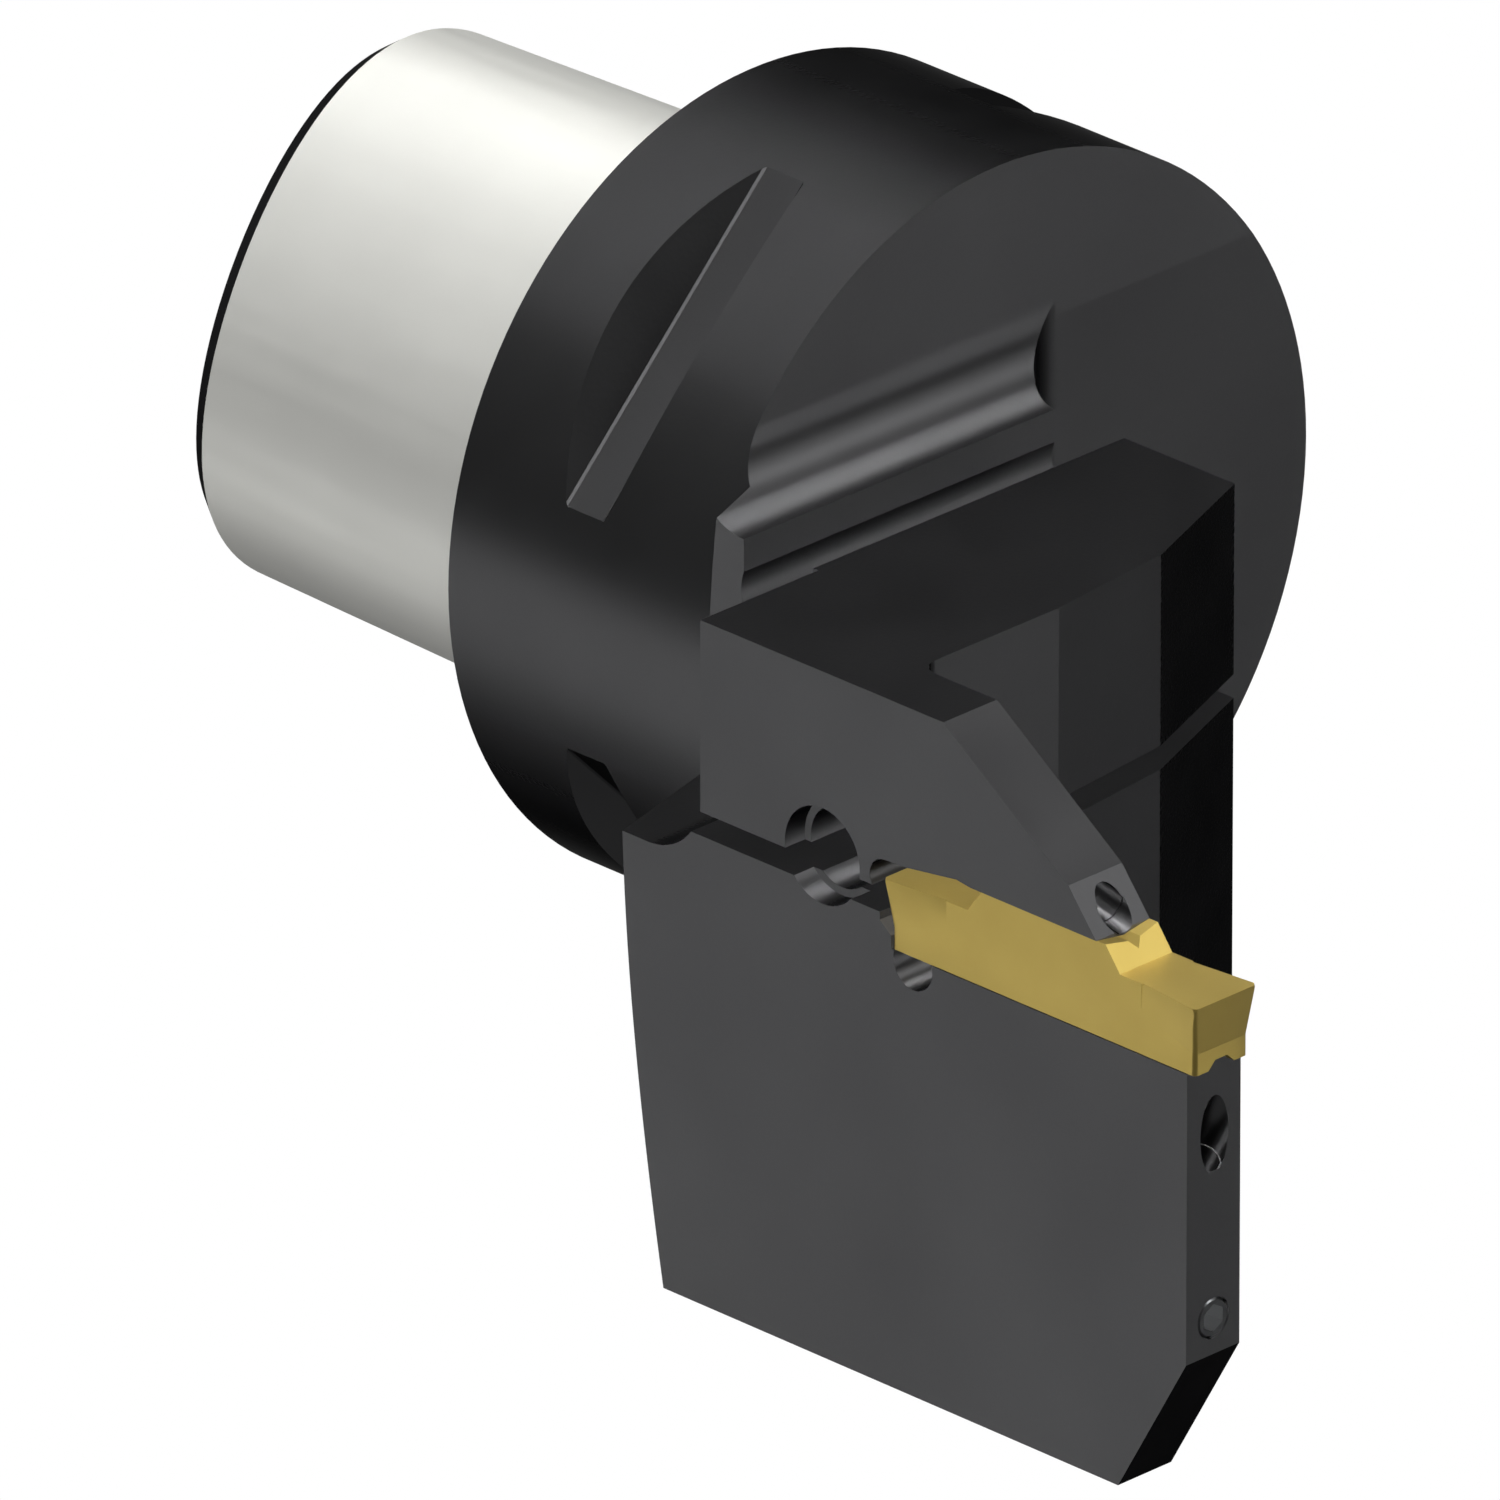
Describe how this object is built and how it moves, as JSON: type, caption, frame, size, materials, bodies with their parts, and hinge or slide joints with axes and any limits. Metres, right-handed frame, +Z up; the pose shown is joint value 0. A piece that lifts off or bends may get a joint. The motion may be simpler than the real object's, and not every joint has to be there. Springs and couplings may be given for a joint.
{
  "type": "parting tool holder",
  "caption": "Parting tool holder with a three-lobed taper shank, round flange, slit spring jaw and a two-edged carbide insert on a slim support blade.",
  "frame": {"origin": "on the tool axis, in the plane of the flange's rear contact face", "axes": "+X along the tool axis towards the cutting edge, +Z up from the rake plane, -Y towards the support blade's side"},
  "size_m": [0.0999, 0.06, 0.057],
  "materials": {
    "ground_steel": "ground, bright",
    "black_steel": "satin black oxide",
    "coated_carbide": "satin golden coating on sintered carbide",
    "plug_steel": "black oxide"
  },
  "bodies": {
    "holder": {"polygon_shank": "ground_steel", "flange": "black_steel", "neck": "black_steel", "spring_web": "black_steel", "lower_block": "black_steel", "support_blade": "black_steel", "block_channel_plugs": "plug_steel"},
    "jaw": {"jaw_block": "black_steel", "clamp_finger": "black_steel", "jaw_channel_plugs": "plug_steel"},
    "insert": {"cutting_insert": "coated_carbide"},
    "front_plug": {"front_plug_screw": "plug_steel"}
  },
  "joints": [
    {"name": "jaw_flex", "type": "hinge", "parent": "holder", "child": "jaw", "pos_m": [0.027, -0.0126, 0.00207], "axis": [0, -1, 0], "range_deg": [0, 0.8], "stiffness_Nm_per_rad": 4, "springref_deg": -14.32, "deforming": ["spring_web"]},
    {"name": "insert_slide", "type": "slide", "parent": "holder", "child": "insert", "axis": [1, 0, 0], "range_m": [0, 0.026]},
    {"name": "front_plug_out", "type": "slide", "parent": "holder", "child": "front_plug", "axis": [1, 0, 0], "range_m": [0, 0.005]}
  ]
}
